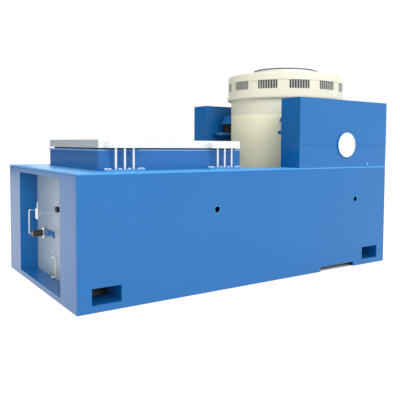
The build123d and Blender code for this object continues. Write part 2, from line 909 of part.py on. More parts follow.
def base_nodes():
    return {
        "left_end_frame": left_end_frame(),
        "recess_liner": recess_liner(),
        "instrument_panel": instrument_panel(),
        "right_end_wall": right_end_wall(),
        "chassis_floor": chassis_floor(),
        "well_bulkhead": well_bulkhead(),
        "deck_plate": deck_plate(),
        "fork_sleeves": Compound([fork_sleeve(x0, side) for x0 in fork_starts() for side in sides.values()]),
        "inner_walls": both_sides(inner_plate),
        "trunnion_plates": both_sides(trunnion_plate),
        "bearing_blocks": both_sides(bearing_block),
        "trunnion_bearings": both_sides(trunnion_bearing),
        "bearing_covers": both_sides(bearing_cover),
        "tilt_gear_case": gear_case(),
        "tilt_input_shaft": input_shaft(),
    }


def shaker_nodes():
    return {
        "trunnion_shafts": both_sides(trunnion_shaft),
        "air_springs": Compound([spring for side in sides.values() for spring in air_springs(side).solids()]),
        "body_lugs": Compound([lug for side in sides.values() for lug in body_lugs(side).solids()]),
        "magnet_yoke": magnet_yoke(),
        "bottom_plate": bottom_plate(),
        "air_outlet": air_outlet(),
        "top_plate": top_plate(),
        "centre_pole": centre_pole(),
        "field_coils": field_coils(),
        "grille_ring": grille_ring(),
        "top_cover": top_cover(),
        "dust_seal": dust_seal(),
        "guide_bearing": guide_bearing(),
        "armature_table": armature_table(),
        "drive_coil": drive_coil(),
        "armature_shaft": armature_shaft(),
    }


def table_nodes():
    return {
        "slip_plate": slip_plate(),
        "slip_box": slip_box(),
        "granite_block": granite_block(),
    }


def oil_nodes():
    return {
        "oil_tank": oil_tank(),
        "oil_pump_unit": oil_pump_unit(),
        "oil_filter": oil_filter(),
        "tee_fitting": tee_fitting(),
        "valve_body": valve_body(),
        "valve_handle": valve_handle(),
        "return_pipe": return_pipe(),
        "manifold_block": manifold_block(),
        "knob_collar": knob_collar(),
        "regulator_knob": regulator_knob(),
        "panel_plugs": Compound([indicator(), filler_plug()]),
        "gauge_glass": gauge_glass(),
        "gauge_frame": gauge_frame(),
        "drain_cock": drain_cock(),
        "drain_lever": drain_lever(),
    }


def side_nodes(name, side):
    """The nodes that stand once at the front and once at the rear."""
    return {
        f"{name}_side_wall": side_plate(side),
        f"{name}_pedestal": pedestal_base(side),
        f"{name}_pedestal_cap": pedestal_cap(side),
        f"{name}_cradle": cradle(side),
        f"{name}_guide_bars": table_guides(guide_bar, side),
    }


def build():
    """Every node of the machine by name."""
    nodes = base_nodes() | shaker_nodes() | table_nodes() | oil_nodes()
    for name, side in sides.items():
        nodes |= side_nodes(name, side)
    both = [guide_posts(x, side) for x in guide_places for side in sides.values()]
    return nodes | {"guide_posts": Compound(both)}


if __name__ == "__main__":
    os.makedirs("parts", exist_ok=True)
    for node, shape in build().items():
        export_step(shape, f"parts/{node}.step")
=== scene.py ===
"""Looks of a vibration testing machine: an electrodynamic shaker that tilts on trunnions,
beside a horizontal slip table, on one blue welded base.

Metres, in the frame of the CAD model: +X runs from the slip table to the shaker, +Z is up.
Sizes that are named on their own are in millimetres, and angles in degrees.
"""

import json
import math

import bmesh
import bpy
from mathutils import Matrix, Vector


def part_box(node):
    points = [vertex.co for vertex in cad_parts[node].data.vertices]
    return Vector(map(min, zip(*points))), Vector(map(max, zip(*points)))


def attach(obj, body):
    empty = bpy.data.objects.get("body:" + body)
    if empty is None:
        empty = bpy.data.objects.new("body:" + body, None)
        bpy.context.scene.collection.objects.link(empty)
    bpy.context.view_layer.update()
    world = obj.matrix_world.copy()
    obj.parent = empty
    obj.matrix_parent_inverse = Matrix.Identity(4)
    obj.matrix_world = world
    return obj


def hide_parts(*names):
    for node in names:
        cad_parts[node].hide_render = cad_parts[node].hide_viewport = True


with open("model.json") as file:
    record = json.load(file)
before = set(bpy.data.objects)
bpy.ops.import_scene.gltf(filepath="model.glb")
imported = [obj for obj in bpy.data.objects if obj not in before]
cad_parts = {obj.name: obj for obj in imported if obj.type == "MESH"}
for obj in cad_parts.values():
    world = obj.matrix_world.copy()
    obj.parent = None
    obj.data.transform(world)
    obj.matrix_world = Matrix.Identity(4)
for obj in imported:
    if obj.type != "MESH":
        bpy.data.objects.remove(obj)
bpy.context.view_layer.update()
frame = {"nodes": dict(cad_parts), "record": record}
nodes = frame["nodes"]
mm = 0.001

# Places read from the frame
base_low, base_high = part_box("deck_plate")
deck_top = base_high.z
plate_low, plate_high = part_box("slip_plate")
slip_box_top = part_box("slip_box")[1].z
pedestal_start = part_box("front_pedestal")[0].x
ring_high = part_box("grille_ring")[1]
armature_low, armature_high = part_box("armature_table")
shaker_x = (armature_low.x + armature_high.x) / 2

# Places on the base, in metres
guide_middles = (-0.8895, -0.1765)
lifting_holes = (-0.365, 0.887)
lifting_height = 0.508
plug_x = 1.013
plug_height = 0.772

# Merging and rounding
double_gap = 0.01
flush_gap = 0.5
flat_angle = 0.3
crease_angle = 35
corner_angle = 40

# Windows of the grille ring, down from its top
window_count = 12
window_pitch = 360 / window_count
window_turn = 2.2
window_half = 9.9
window_top = 56
window_bottom = 123
slat_depth = 20
window_high = ring_high.z - window_top * mm
window_low = ring_high.z - window_bottom * mm
# A dark sheet just inside the windows: painted shade for the dark inside of the ring.
shade_sheet_radius = 454.5
shade_sheet_margin = 6
shade_sheet_wall = 1.5

# Guide bars, feet and lugs
bar_height = 36
bolt_head = 5
bolt_margin = 5
foot_thickness = 8
foot_reach = 39
foot_screw_steps = (28, 93, 117)
foot_screw_row = 11
lug_flank = 290
lug_slant = 22

# Rims, bushes and screws
box_rim = 9
armature_edge = 1.2
armature_rim_height = 9
armature_rim_wall = 2.0
armature_rim_proud = 0.4
bush_bore = 19.4
bush_radius = 25
bush_proud = 1.5
bush_sunk = 2
cover_circle = 375
screw_sides = 20

# Paints and finishes, as sRGB colours
blue = (0.030, 0.395, 0.655)
# Painted sheen: a lighter blue for the deck and the guide feet, standing in for the light that their tops
# catch.
deck_blue_painted_sheen = (0.260, 0.600, 0.860)
# Painted highlight: a lighter blue on the slip box's upper rim, for the light that its top edge catches.
rim_blue_painted_highlight = (0.420, 0.640, 0.850)
bush_blue = (0.210, 0.500, 0.720)
plug_blue = (0.620, 0.800, 0.930)
cream = (0.905, 0.890, 0.800)
# Painted light: a brighter copy of the cream paint for the magnet yoke and bottom plate, standing in for
# light on the body.
body_cream_painted_light = (0.995, 0.975, 0.830)
slat_grey = (0.660, 0.665, 0.640)
panel_grey = (0.640, 0.700, 0.750)
cover_white = (0.950, 0.950, 0.940)
# Painted shade: dark grey of the sheet behind the grille windows.
window_shade_dark = (0.200, 0.200, 0.200)
motor_black = (0.100, 0.100, 0.110)
dust_grey = (0.620, 0.600, 0.570)
magnesium_white = (0.930, 0.940, 0.935)
armature_white = (0.930, 0.935, 0.930)
steel_grey = (0.760, 0.770, 0.780)
ground_white = (0.930, 0.940, 0.950)
plated_white = (0.900, 0.910, 0.920)
dark_band_grey = (0.300, 0.310, 0.320)
copper_brown = (0.720, 0.400, 0.220)
glass_tint = (0.930, 0.950, 0.900)

# Ground and speckle of each dense or moulded stuff
iron_colours = ((0.270, 0.270, 0.280), (0.380, 0.380, 0.390))
rubber_colours = ((0.060, 0.060, 0.065), (0.120, 0.120, 0.120))
granite_colours = ((0.180, 0.190, 0.200), (0.520, 0.530, 0.540))
brown_colours = ((0.190, 0.140, 0.120), (0.300, 0.220, 0.190))
black_colours = ((0.050, 0.050, 0.055), (0.100, 0.100, 0.100))


def linear(colour):
    """An sRGB colour as the linear RGBA that a shader takes."""
    parts = [c / 12.92 if c <= 0.04045 else ((c + 0.055) / 1.055) ** 2.4 for c in colour]
    return (*parts, 1.0)


# Makers of nodes

def add(tree, kind, settings=None, **values):
    """A node with its settings, and its inputs set to a value or linked to a socket.

    An input goes by its name, with _ for a space, or by its number after the letter i.
    """
    node = tree.nodes.new(kind)
    for setting, value in (settings or {}).items():
        setattr(node, setting, value)
    for label, value in values.items():
        place = int(label[1:]) if label[0] == "i" and label[1:].isdigit() else label.replace("_", " ")
        socket = node.inputs[place]
        if isinstance(value, bpy.types.NodeSocket):
            tree.links.new(value, socket)
        else:
            socket.default_value = value
    return node


def noise(tree, position, scale, detail=2.0, roughness=0.5):
    """Soft noise over the surface, with a half as its middle."""
    node = add(tree, "ShaderNodeTexNoise", Vector=position, Scale=scale, Detail=detail, Roughness=roughness)
    return node.outputs["Fac"]


def ranged(tree, value, low, high, out_low, out_high):
    """A value brought from one range into another, and held inside it."""
    node = add(tree, "ShaderNodeMapRange", Value=value, From_Min=low, From_Max=high,
               To_Min=out_low, To_Max=out_high)
    return node.outputs["Result"]


def math_node(tree, operation, first, second=0.0):
    """The result of one sum."""
    return add(tree, "ShaderNodeMath", {"operation": operation}, i0=first, i1=second).outputs[0]


def centred(tree, pattern, share):
    """A pattern measured from its middle of a half, times a share."""
    return math_node(tree, "MULTIPLY", math_node(tree, "SUBTRACT", pattern, 0.5), share)


def mixed(tree, share, first, second):
    """A colour between the first and the second."""
    return add(tree, "ShaderNodeMix", {"data_type": "RGBA"}, i0=share, i6=first, i7=second).outputs[2]


def toned(tree, colour, changes):
    """A colour made lighter or darker by changes about nought."""
    level = math_node(tree, "ADD", 1.0, changes)
    return add(tree, "ShaderNodeVectorMath", {"operation": "SCALE"}, i0=colour, Scale=level).outputs[0]


# Shader node groups

def surface_group(name, inputs):
    """A shader group that gives a colour, a roughness and a normal, with its input and output nodes."""
    tree = bpy.data.node_groups.new(name, "ShaderNodeTree")
    for label, kind, value in inputs:
        tree.interface.new_socket(label, in_out="INPUT", socket_type=kind).default_value = value
    for label, kind in (("Colour", "NodeSocketColor"), ("Roughness", "NodeSocketFloat"),
                        ("Normal", "NodeSocketVector")):
        tree.interface.new_socket(label, in_out="OUTPUT", socket_type=kind)
    return tree, tree.nodes.new("NodeGroupInput"), tree.nodes.new("NodeGroupOutput")


def give(tree, result, colour, roughness, bump):
    """Links a group's colour, roughness and bump to its outputs."""
    tree.links.new(colour, result.inputs["Colour"])
    tree.links.new(roughness, result.inputs["Roughness"])
    tree.links.new(bump.outputs["Normal"], result.inputs["Normal"])
    return tree


def enamel_group():
    """Sprayed enamel: slow changes of shade, an orange peel skin, and dust that settles low down."""
    tree, source, result = surface_group("sprayed_enamel", [
        ("Colour", "NodeSocketColor", (0.5, 0.5, 0.5, 1)),
        ("Shade Change", "NodeSocketFloat", 0.06),
        ("Roughness", "NodeSocketFloat", 0.32),
        ("Peel", "NodeSocketFloat", 0.03),
        ("Dust Height", "NodeSocketFloat", 0.10),
        ("Dust", "NodeSocketFloat", 0.03),
    ])
    given = source.outputs
    position = add(tree, "ShaderNodeTexCoord").outputs["Object"]
    clouds = noise(tree, position, scale=1.7, detail=3.0)
    spots = noise(tree, position, scale=38.0, detail=4.0, roughness=0.6)
    skin = noise(tree, position, scale=420.0)
    shade = centred(tree, clouds, given["Shade Change"])
    tone = toned(tree, given["Colour"], math_node(tree, "ADD", shade, centred(tree, spots, 0.02)))
    height = add(tree, "ShaderNodeSeparateXYZ", Vector=position).outputs["Z"]
    near_floor = ranged(tree, height, given["Dust Height"], 0.0, 0.0, 1.0)
    cover = math_node(tree, "MULTIPLY", math_node(tree, "MULTIPLY", near_floor, spots), given["Dust"])
    dusty = mixed(tree, cover, tone, linear(dust_grey))
    spotted = math_node(tree, "MULTIPLY", spots, 0.02)
    duller = math_node(tree, "ADD", spotted, math_node(tree, "MULTIPLY", cover, 0.4))
    bump = add(tree, "ShaderNodeBump", Strength=given["Peel"], Distance=0.0006, Height=skin)
    return give(tree, result, dusty, math_node(tree, "ADD", given["Roughness"], duller), bump)


def grain_group():
    """Machined metal: fine lines along one direction, with a slow change of tone."""
    tree, source, result = surface_group("machined_grain", [
        ("Colour", "NodeSocketColor", (0.5, 0.5, 0.5, 1)),
        ("Line Scale", "NodeSocketVector", (4, 300, 300)),
        ("Contrast", "NodeSocketFloat", 0.12),
        ("Roughness", "NodeSocketFloat", 0.3),
        ("Depth", "NodeSocketFloat", 0.15),
    ])
    given = source.outputs
    position = add(tree, "ShaderNodeTexCoord").outputs["Object"]
    stretched = add(tree, "ShaderNodeVectorMath", {"operation": "MULTIPLY"}, i0=position,
                    i1=given["Line Scale"])
    lines = noise(tree, stretched.outputs[0], scale=1.0, detail=4.0, roughness=0.65)
    clouds = noise(tree, position, scale=6.0)
    pattern = math_node(tree, "ADD", centred(tree, lines, 1.0), centred(tree, clouds, 0.6))
    tone = toned(tree, given["Colour"], math_node(tree, "MULTIPLY", pattern, given["Contrast"]))
    gloss = math_node(tree, "ADD", given["Roughness"], centred(tree, lines, 0.25))
    bump = add(tree, "ShaderNodeBump", Strength=given["Depth"], Distance=0.0004, Height=lines)
    return give(tree, result, tone, gloss, bump)


def speckle_group():
    """Crystals of a dense stone, or the pores of a casting, rubber or plastic."""
    tree, source, result = surface_group("speckled_body", [
        ("Ground", "NodeSocketColor", (0.1, 0.1, 0.1, 1)),
        ("Speckle", "NodeSocketColor", (0.4, 0.4, 0.4, 1)),
        ("Scale", "NodeSocketFloat", 300.0),
        ("Share", "NodeSocketFloat", 0.35),
        ("Roughness", "NodeSocketFloat", 0.4),
        ("Depth", "NodeSocketFloat", 0.2),
    ])
    given = source.outputs
    position = add(tree, "ShaderNodeTexCoord").outputs["Object"]
    crystals = add(tree, "ShaderNodeTexVoronoi", Vector=position, Scale=given["Scale"])
    grains = add(tree, "ShaderNodeSeparateColor", Color=crystals.outputs["Color"]).outputs[0]
    chosen = math_node(tree, "LESS_THAN", grains, given["Share"])
    soft = math_node(tree, "MULTIPLY", chosen, noise(tree, position, scale=90.0, detail=3.0))
    colour = mixed(tree, soft, given["Ground"], given["Speckle"])
    gloss = math_node(tree, "ADD", given["Roughness"], math_node(tree, "MULTIPLY", grains, 0.12))
    bump = add(tree, "ShaderNodeBump", Strength=given["Depth"], Distance=0.0005, Height=grains)
    return give(tree, result, colour, gloss, bump)


groups = {"enamel": enamel_group(), "grain": grain_group(), "speckle": speckle_group()}


# Materials

materials = {}


def new_material(name):
    """Keeps a new material under its name, and gives its nodes and its Principled shader."""
    material = bpy.data.materials.new(name)
    material.use_nodes = True
    materials[name] = material
    return material.node_tree, material.node_tree.nodes["Principled BSDF"]


def surface(name, group, shader, **inputs):
    """A Principled material with its own settings, fed by one of the shader groups."""
    tree, principled = new_material(name)
    for label, value in shader.items():
        principled.inputs[label].default_value = value
    texture = tree.nodes.new("ShaderNodeGroup")
    texture.node_tree = groups[group]
    for label, value in inputs.items():
        texture.inputs[label.replace("_", " ")].default_value = value
    tree.links.new(texture.outputs["Colour"], principled.inputs["Base Color"])
    tree.links.new(texture.outputs["Roughness"], principled.inputs["Roughness"])
    tree.links.new(texture.outputs["Normal"], principled.inputs["Normal"])


def enamel(name, colour, roughness=0.24, coat=0.10, shade_change=0.06):
    """Sprayed enamel under a thin clear coat."""
    surface(name, "enamel", {"Coat Weight": coat, "Coat Roughness": 0.12}, Colour=linear(colour),
            Roughness=roughness, Shade_Change=shade_change)


def metal(name, colour, metallic, roughness, lines, contrast=0.12, depth=0.15):
    """Machined or plated metal. Its lines are drawn out along the axes that have a low scale."""
    surface(name, "grain", {"Metallic": metallic}, Colour=linear(colour), Roughness=roughness,
            Line_Scale=lines, Contrast=contrast, Depth=depth)


def speckled(name, colours, scale, roughness, depth, metallic=0.0, coat=0.0):
    """Stone, casting, rubber or plastic, by its ground and speckle colours."""
    ground, speckle = colours
    surface(name, "speckle", {"Metallic": metallic, "Coat Weight": coat}, Ground=linear(ground),
            Speckle=linear(speckle), Scale=scale, Roughness=roughness, Depth=depth)


def glass(name, colour):
    """Clear glass with a slight tint."""
    _, principled = new_material(name)
    principled.inputs["Base Color"].default_value = linear(colour)
    principled.inputs["Roughness"].default_value = 0.05
    principled.inputs["Transmission Weight"].default_value = 0.85
    principled.inputs["IOR"].default_value = 1.45


enamel("blue_enamel", blue)
# The deck's paint is lighter than the walls' blue: painted sheen for the light on its top.
enamel("deck_enamel_painted_sheen", deck_blue_painted_sheen, 0.40)
enamel("rim_enamel_painted_highlight", rim_blue_painted_highlight, 0.30)
enamel("bush_enamel", bush_blue)
enamel("slat_enamel", slat_grey, 0.40)
enamel("window_shade_black", window_shade_dark, 0.60)
enamel("cream_enamel", cream, 0.38, coat=0.15, shade_change=0.05)
# A brighter copy of the cream enamel, as painted light on the body.
enamel("body_enamel_painted_light", body_cream_painted_light, 0.38, coat=0.15, shade_change=0.05)
enamel("panel_enamel", panel_grey, 0.34)
enamel("white_enamel", cover_white, 0.25)
enamel("motor_enamel", motor_black, 0.40)
enamel("light_blue_cap", plug_blue, 0.35)
metal("milled_magnesium", magnesium_white, 0.50, 0.24, (3, 260, 260), contrast=0.06, depth=0.10)
metal("armature_magnesium", armature_white, 0.10, 0.40, (40, 40, 500), contrast=0.06, depth=0.10)
metal("machined_steel", steel_grey, 0.90, 0.28, (90, 90, 600))
metal("ground_steel", ground_white, 0.55, 0.22, (200, 200, 900), contrast=0.05, depth=0.05)
metal("bright_plate", plated_white, 0.95, 0.14, (300, 300, 300), contrast=0.06, depth=0.06)
metal("dark_band_metal", dark_band_grey, 0.80, 0.35, (300, 300, 300))
metal("winding_copper", copper_brown, 0.80, 0.38, (30, 30, 700), contrast=0.50, depth=0.60)
speckled("cast_iron", iron_colours, 420.0, 0.55, 0.50, metallic=0.4)
speckled("rubber", rubber_colours, 700.0, 0.62, 0.30)
speckled("granite", granite_colours, 260.0, 0.30, 0.05, coat=0.2)
speckled("brown_plastic", brown_colours, 150.0, 0.28, 0.05, coat=0.4)
speckled("black_plastic", black_colours, 600.0, 0.42, 0.20)
glass("sight_glass", glass_tint)

node_finish = {
    "blue_enamel": ["left_end_frame", "recess_liner", "right_end_wall", "chassis_floor", "well_bulkhead",
                    "fork_sleeves", "inner_walls", "trunnion_plates", "front_side_wall", "rear_side_wall",
                    "front_pedestal", "rear_pedestal", "front_pedestal_cap", "rear_pedestal_cap",
                    "front_cradle", "rear_cradle", "body_lugs", "slip_box", "manifold_block",
                    "tilt_gear_case", "oil_tank"],
    "deck_enamel_painted_sheen": ["deck_plate"],
    "panel_enamel": ["instrument_panel"],
    "cream_enamel": ["top_plate", "grille_ring", "top_cover"],
    "body_enamel_painted_light": ["magnet_yoke", "bottom_plate"],
    "motor_enamel": ["oil_pump_unit"],
    "machined_steel": ["bearing_blocks", "trunnion_bearings", "trunnion_shafts", "tilt_input_shaft",
                       "air_outlet", "guide_bearing", "armature_shaft", "drain_cock", "drain_lever"],
    "ground_steel": ["guide_posts"],
    "bright_plate": ["tee_fitting", "valve_body", "valve_handle", "return_pipe", "knob_collar",
                     "panel_plugs"],
    "cast_iron": ["centre_pole"],
    "winding_copper": ["field_coils", "drive_coil"],
    "armature_magnesium": ["armature_table"],
    "milled_magnesium": ["slip_plate", "front_guide_bars", "rear_guide_bars"],
    "rubber": ["air_springs", "dust_seal"],
    "granite": ["granite_block"],
    "white_enamel": ["bearing_covers", "gauge_frame"],
    "brown_plastic": ["oil_filter"],
    "black_plastic": ["regulator_knob"],
    "sight_glass": ["gauge_glass"],
}
finish_of = {node: finish for finish, names in node_finish.items() for node in names}
body_of = {node: body for body, names in frame["record"]["behaviour"]["bodies"].items() for node in names}


# Pieces

def new_piece(name, mesh, body):
    """An object of the scene that rides on a body."""
    piece = bpy.data.objects.new(name, mesh)
    bpy.context.scene.collection.objects.link(piece)
    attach(piece, body)
    return piece


def evaluated_mesh(piece):
    """The piece's mesh with its modifiers applied, as plain mesh data."""
    bpy.context.view_layer.update()
    graph = bpy.context.evaluated_depsgraph_get()
    return bpy.data.meshes.new_from_object(piece.evaluated_get(graph), depsgraph=graph)


def smooth_shading(mesh):
    """Smooth faces with sharp creases between them."""
    mesh.shade_smooth()
    mesh.set_sharp_from_angle(angle=math.radians(crease_angle))


# Forms that are refined on the merged copies of the CAD nodes

side_walls = ("front_side_wall", "rear_side_wall")
pedestals = ("front_pedestal", "rear_pedestal")


def turn_windows(shape):
    """The windows stand a little round from the machine's axes."""
    bmesh.ops.rotate(shape, verts=shape.verts, cent=(shaker_x, 0, 0),
                     matrix=Matrix.Rotation(math.radians(window_turn), 3, "Z"))


def lower_bars(shape):
    """The bars are lower than the plate, with their bolts at half their height."""
    bar_face = max(abs(point.co.y) for point in shape.verts) - bolt_head * mm
    bar_top = plate_low.z + bar_height * mm
    bolts_low = plate_low.z + bolt_margin * mm
    bolts_high = plate_high.z - bolt_margin * mm
    for point in shape.verts:
        if abs(point.co.y) > bar_face - flush_gap * mm and bolts_low < point.co.z < bolts_high:
            point.co.z -= (plate_high.z - bar_top) / 2
        elif point.co.z > plate_high.z - flush_gap * mm:
            point.co.z = bar_top


def slant_lugs(shape):
    """The lugs narrow towards their tops."""
    middle = sum(point.co.z for point in shape.verts) / len(shape.verts)
    for point in shape.verts:
        reach = point.co.x - shaker_x
        if abs(reach) > lug_flank * mm and point.co.z > middle:
            point.co.x -= math.copysign(lug_slant * mm, reach)


form_changes = {"grille_ring": turn_windows, "front_guide_bars": lower_bars,
                "rear_guide_bars": lower_bars, "body_lugs": slant_lugs}


def welded_joint(node, edge):
    """Whether the edge lies where a pedestal stands flush on its side wall."""
    if node not in side_walls + pedestals:
        return False
    return all(abs(point.co.z - deck_top) < flush_gap * mm
               and point.co.x > pedestal_start - flush_gap * mm
               and abs(point.co.y) > base_high.y - flush_gap * mm for point in edge.verts)


def welded_copy(node):
    """A copy of a CAD node's mesh with its doubled points merged and its flat faces joined.

    Its corners are marked for rounding, apart from those where two welded pieces meet flush.
    """
    shape = bmesh.new()
    shape.from_mesh(nodes[node].data)
    bmesh.ops.remove_doubles(shape, verts=shape.verts, dist=double_gap * mm)
    bmesh.ops.dissolve_limit(shape, angle_limit=math.radians(flat_angle), verts=shape.verts,
                             edges=shape.edges)
    if node in form_changes:
        form_changes[node](shape)
    if node in side_walls:
        everything = shape.verts[:] + shape.edges[:] + shape.faces[:]
        bmesh.ops.bisect_plane(shape, geom=everything, plane_co=(pedestal_start, 0, 0), plane_no=(1, 0, 0))
    weights = shape.edges.layers.float.new("bevel_weight_edge")
    for edge in shape.edges:
        corner = len(edge.link_faces) == 2 and edge.calc_face_angle() > math.radians(corner_angle)
        edge[weights] = float(corner and not welded_joint(node, edge))
    mesh = bpy.data.meshes.new(node + "_welded")
    shape.to_mesh(mesh)
    shape.free()
    smooth_shading(mesh)
    return mesh


def dressed(node, radius):
    """The node's finished form: welded, with its edges rounded by a radius."""
    draft = bpy.data.objects.new(node + "_draft", welded_copy(node))
    bpy.context.scene.collection.objects.link(draft)
    if radius:
        rounding = draft.modifiers.new("rounding", "BEVEL")
        rounding.width = radius * mm
        rounding.segments = 2
        rounding.limit_method = "WEIGHT"
        rounding.use_clamp_overlap = True
        evening = draft.modifiers.new("evening", "WEIGHTED_NORMAL")
        evening.keep_sharp = True
    mesh = evaluated_mesh(draft)
    bpy.data.objects.remove(draft)
    mesh.materials.clear()
    mesh.materials.append(materials[finish_of[node]])
    mesh.name = node + "_finished"
    piece = new_piece(node + "_finished", mesh, body_of[node])
    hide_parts(node)
    return piece


edge_radius = {
    "front_side_wall": 1.5, "rear_side_wall": 1.5, "left_end_frame": 1.5, "deck_plate": 2.0,
    "right_end_wall": 1.5, "front_pedestal": 2.0, "rear_pedestal": 2.0, "front_pedestal_cap": 2.0,
    "rear_pedestal_cap": 2.0, "trunnion_plates": 1.0, "slip_box": 1.5, "slip_plate": 0.8,
    "front_guide_bars": 1.0, "rear_guide_bars": 1.0, "guide_posts": 0.6, "recess_liner": 0.6,
    "instrument_panel": 0.6, "bearing_covers": 0.8, "grille_ring": 0.0, "magnet_yoke": 0.0,
    "top_plate": 0.0, "bottom_plate": 3.0, "top_cover": 1.0, "armature_table": 1.0, "body_lugs": 2.0,
    "front_cradle": 2.0, "rear_cradle": 2.0, "granite_block": 2.0, "dust_seal": 1.0, "air_springs": 3.0,
    "manifold_block": 0.8, "oil_filter": 1.0, "tee_fitting": 0.6, "valve_body": 0.8, "valve_handle": 0.8,
    "return_pipe": 0.0, "knob_collar": 0.6, "regulator_knob": 1.5, "panel_plugs": 0.8, "gauge_glass": 0.0,
    "gauge_frame": 0.8, "drain_cock": 0.6, "drain_lever": 0.6, "air_outlet": 1.0, "tilt_input_shaft": 0.8,
    "chassis_floor": 0.0, "well_bulkhead": 0.0, "inner_walls": 0.0, "fork_sleeves": 0.0,
}
finished = {node: dressed(node, radius) for node, radius in edge_radius.items()}


# Finishes that change within one piece

def refinish(node, finish, chosen):
    """Gives the faces for which chosen(face) is true another finish."""
    mesh = finished[node].data
    mesh.materials.append(materials[finish])
    for face in mesh.polygons:
        if chosen(face):
            face.material_index = len(mesh.materials) - 1


def on_slats(face):
    """Whether a face of the ring belongs to the slats of a window."""
    x, y, z = face.center
    angle = math.degrees(math.atan2(y, x - shaker_x)) - window_turn
    from_middle = abs((angle + window_pitch / 2) % window_pitch - window_pitch / 2)
    set_back = math.hypot(x - shaker_x, y) < ring_high.y - slat_depth * mm
    on_slat = set_back or abs(face.normal.z) < 0.5
    return on_slat and from_middle < window_half and window_low < z < window_high


def on_foot(face):
    """Whether a face of the guide posts belongs to a foot. The feet take the deck's paint, a lighter blue
    that is painted sheen.
    """
    return face.center.z < deck_top + (foot_thickness + flush_gap) * mm


def on_box_rim(face):
    """Whether a face of the slip box belongs to its upper rim, which takes a lighter blue as a painted
    highlight.
    """
    return face.center.z > slip_box_top - box_rim * mm


def on_cover_edge(face):
    """Whether a face of a bearing cover looks sideways."""
    return abs(face.normal.y) < 0.8


def on_armature_edge(face):
    """Whether a face of the armature rounds its upper edge or the rim of a hole in its top."""
    return face.center.z > armature_high.z - armature_edge * mm and abs(face.normal.z) < 0.95


refinish("grille_ring", "slat_enamel", on_slats)
refinish("guide_posts", "deck_enamel_painted_sheen", on_foot)
refinish("slip_box", "rim_enamel_painted_highlight", on_box_rim)
refinish("bearing_covers", "blue_enamel", on_cover_edge)
# The rounding of the armature's top edge and the rims of its holes are darker.
refinish("armature_table", "dark_band_metal", on_armature_edge)


# Screws

def screw_heads_tree():
    """Geometry nodes that stand a round head with a chamfered top on each point of a mesh."""
    tree = bpy.data.node_groups.new("screw_heads", "GeometryNodeTree")
    tree.interface.new_socket("Geometry", in_out="INPUT", socket_type="NodeSocketGeometry")
    for label, kind in (("Radius", "NodeSocketFloat"), ("Height", "NodeSocketFloat"),
                        ("Turn", "NodeSocketVector"), ("Sides", "NodeSocketInt"),
                        ("Material", "NodeSocketMaterial")):
        tree.interface.new_socket(label, in_out="INPUT", socket_type=kind)
    tree.interface.new_socket("Geometry", in_out="OUTPUT", socket_type="NodeSocketGeometry")
    given = tree.nodes.new("NodeGroupInput").outputs
    result = tree.nodes.new("NodeGroupOutput")
    drum = add(tree, "GeometryNodeMeshCylinder", Vertices=given["Sides"], Radius=given["Radius"],
                Depth=given["Height"])
    chamfer = add(tree, "GeometryNodeMeshCone", Vertices=given["Sides"], Radius_Bottom=given["Radius"],
                  Radius_Top=math_node(tree, "MULTIPLY", given["Radius"], 0.82),
                  Depth=math_node(tree, "MULTIPLY", given["Height"], 0.18))
    half = math_node(tree, "MULTIPLY", given["Height"], 0.5)
    head = tree.nodes.new("GeometryNodeJoinGeometry")
    for solid, height in ((drum, half), (chamfer, given["Height"])):
        rise = add(tree, "ShaderNodeCombineXYZ", Z=height).outputs[0]
        lifted = add(tree, "GeometryNodeTransform", Geometry=solid.outputs["Mesh"], Translation=rise)
        tree.links.new(lifted.outputs["Geometry"], head.inputs["Geometry"])
    points = add(tree, "GeometryNodeMeshToPoints", Mesh=given["Geometry"])
    placed = add(tree, "GeometryNodeInstanceOnPoints", Points=points.outputs["Points"],
                 Instance=head.outputs["Geometry"], Rotation=given["Turn"])
    real = add(tree, "GeometryNodeRealizeInstances", Geometry=placed.outputs["Instances"])
    coated = add(tree, "GeometryNodeSetMaterial", Geometry=real.outputs["Geometry"],
                 Material=given["Material"])
    tree.links.new(coated.outputs["Geometry"], result.inputs["Geometry"])
    return tree


screw_tree = screw_heads_tree()


def screws(name, places, body, finish, radius, height, turn=(0, 0, 0)):
    """Screw heads, or other short round studs, on places in metres."""
    points = bpy.data.meshes.new(name + "_places")
    points.from_pydata(places, [], [])
    draft = bpy.data.objects.new(name + "_draft", points)
    bpy.context.scene.collection.objects.link(draft)
    heads = draft.modifiers.new("screws", "NODES")
    heads.node_group = screw_tree
    values = {"Radius": radius * mm, "Height": height * mm, "Turn": turn, "Sides": screw_sides,
              "Material": materials[finish]}
    for item in screw_tree.interface.items_tree:
        if item.in_out == "INPUT" and item.name in values:
            heads[item.identifier] = values[item.name]
    mesh = evaluated_mesh(draft)
    bpy.data.objects.remove(draft)
    mesh.name = name
    smooth_shading(mesh)
    return new_piece(name, mesh, body)


foot_top = deck_top + foot_thickness * mm
foot_middle = plate_high.y + foot_reach * mm
foot_screws = [(middle + end * step * mm, side * foot_middle + row * foot_screw_row * mm, foot_top)
               for middle in guide_middles for side in (-1, 1) for step in foot_screw_steps
               for end in (-1, 1) for row in (-1, 1)]
screws("guide_foot_screws", foot_screws, "base", "white_enamel", radius=4.5, height=6)

cover_angles = [math.radians(window_pitch * (place + 0.5)) for place in range(window_count)]
cover_screws = [(shaker_x + cover_circle * mm * math.cos(angle), cover_circle * mm * math.sin(angle),
                 ring_high.z) for angle in cover_angles]
screws("top_cover_screws", cover_screws, "shaker_body", "bright_plate", radius=7, height=5)

screws("pedestal_plug", [(plug_x, base_low.y, plug_height)], "base", "light_blue_cap",
       radius=6, height=2.5, turn=(math.radians(90), 0, 0))


# Turned rings

